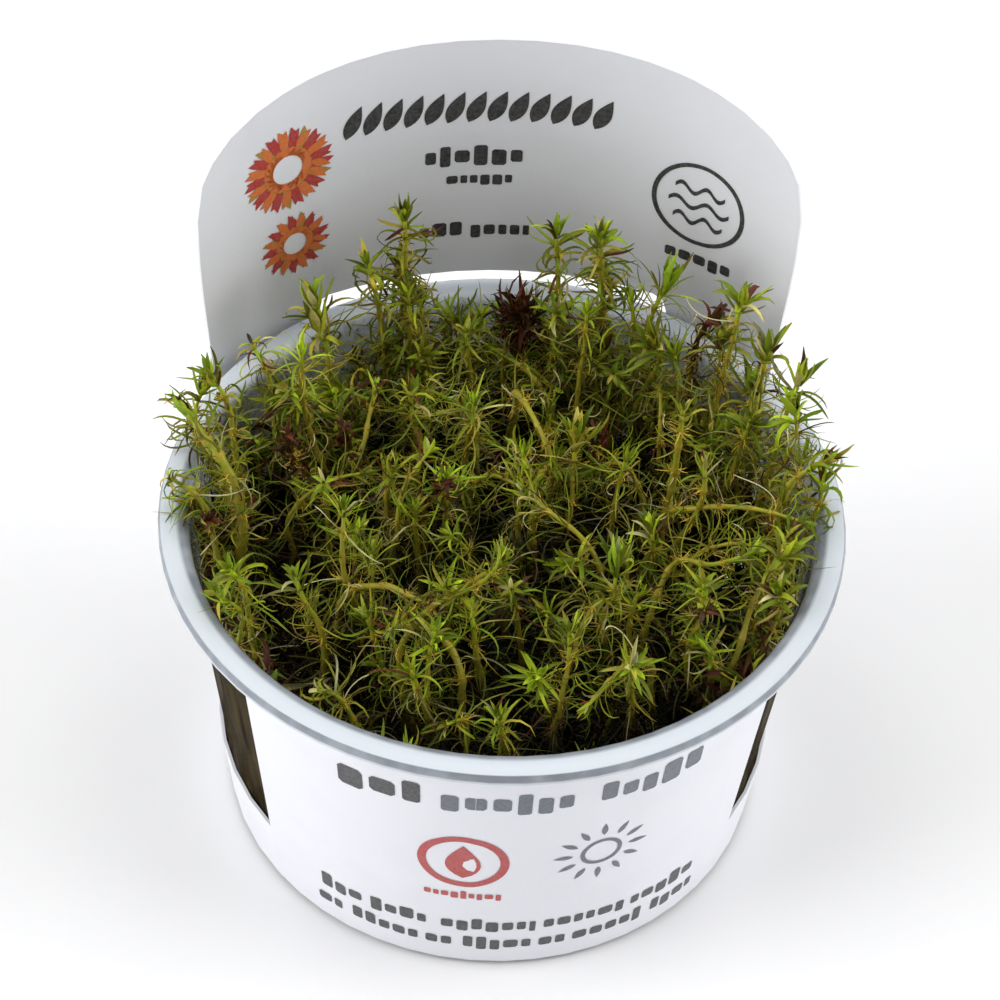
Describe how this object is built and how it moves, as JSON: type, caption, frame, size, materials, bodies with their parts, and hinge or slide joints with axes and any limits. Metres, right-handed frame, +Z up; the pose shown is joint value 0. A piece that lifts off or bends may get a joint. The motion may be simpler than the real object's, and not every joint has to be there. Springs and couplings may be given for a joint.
{
  "type": "rotala plant in a tissue culture cup",
  "caption": "Clear plastic tissue culture cup with a wide flange, wrapped in a white card sleeve with an arched back panel, filled with a tangle of fine needle-leaved rotala stems",
  "frame": {"origin": "centre of the flat underside of the cup, on the surface that it stands on", "axes": "+Z up along the cup's axis, +Y toward the panel at the back, +X to the right when facing the front label"},
  "size_m": [0.1, 0.1, 0.1031],
  "materials": {
    "clear_plastic": "clear moulded polypropylene, slightly milky",
    "white_card": "smooth coated white card",
    "gel": "wet cloudy gel",
    "leaf_olive": "matt olive leaves",
    "leaf_green": "fresh green leaves",
    "leaf_straw": "straw-coloured stems and leaves"
  },
  "bodies": {
    "root": {"cup": "clear_plastic", "card_sleeve": "white_card", "nutrient_gel": "gel", "plantlet_01": "leaf_olive", "plantlet_02": "leaf_green", "plantlet_03": "leaf_straw", "plantlet_04": "leaf_olive", "plantlet_05": "leaf_green", "plantlet_06": "leaf_straw", "plantlet_07": "leaf_olive", "plantlet_08": "leaf_green", "plantlet_09": "leaf_straw", "plantlet_10": "leaf_olive", "plantlet_11": "leaf_green", "plantlet_12": "leaf_straw", "plantlet_13": "leaf_olive", "plantlet_14": "leaf_green", "plantlet_15": "leaf_straw", "plantlet_16": "leaf_olive", "plantlet_17": "leaf_green", "plantlet_18": "leaf_straw", "plantlet_19": "leaf_olive", "plantlet_20": "leaf_green", "plantlet_21": "leaf_straw", "plantlet_22": "leaf_olive", "plantlet_23": "leaf_green", "plantlet_24": "leaf_straw", "plantlet_25": "leaf_olive", "plantlet_26": "leaf_green", "plantlet_27": "leaf_straw", "plantlet_28": "leaf_olive", "plantlet_29": "leaf_green", "plantlet_30": "leaf_straw", "plantlet_31": "leaf_olive", "plantlet_32": "leaf_green", "plantlet_33": "leaf_straw", "plantlet_34": "leaf_olive", "plantlet_35": "leaf_green", "plantlet_36": "leaf_straw", "plantlet_37": "leaf_olive", "plantlet_38": "leaf_green", "plantlet_39": "leaf_straw", "plantlet_40": "leaf_olive", "plantlet_41": "leaf_green", "plantlet_42": "leaf_straw", "plantlet_43": "leaf_olive", "plantlet_44": "leaf_green"}
  },
  "joints": []
}
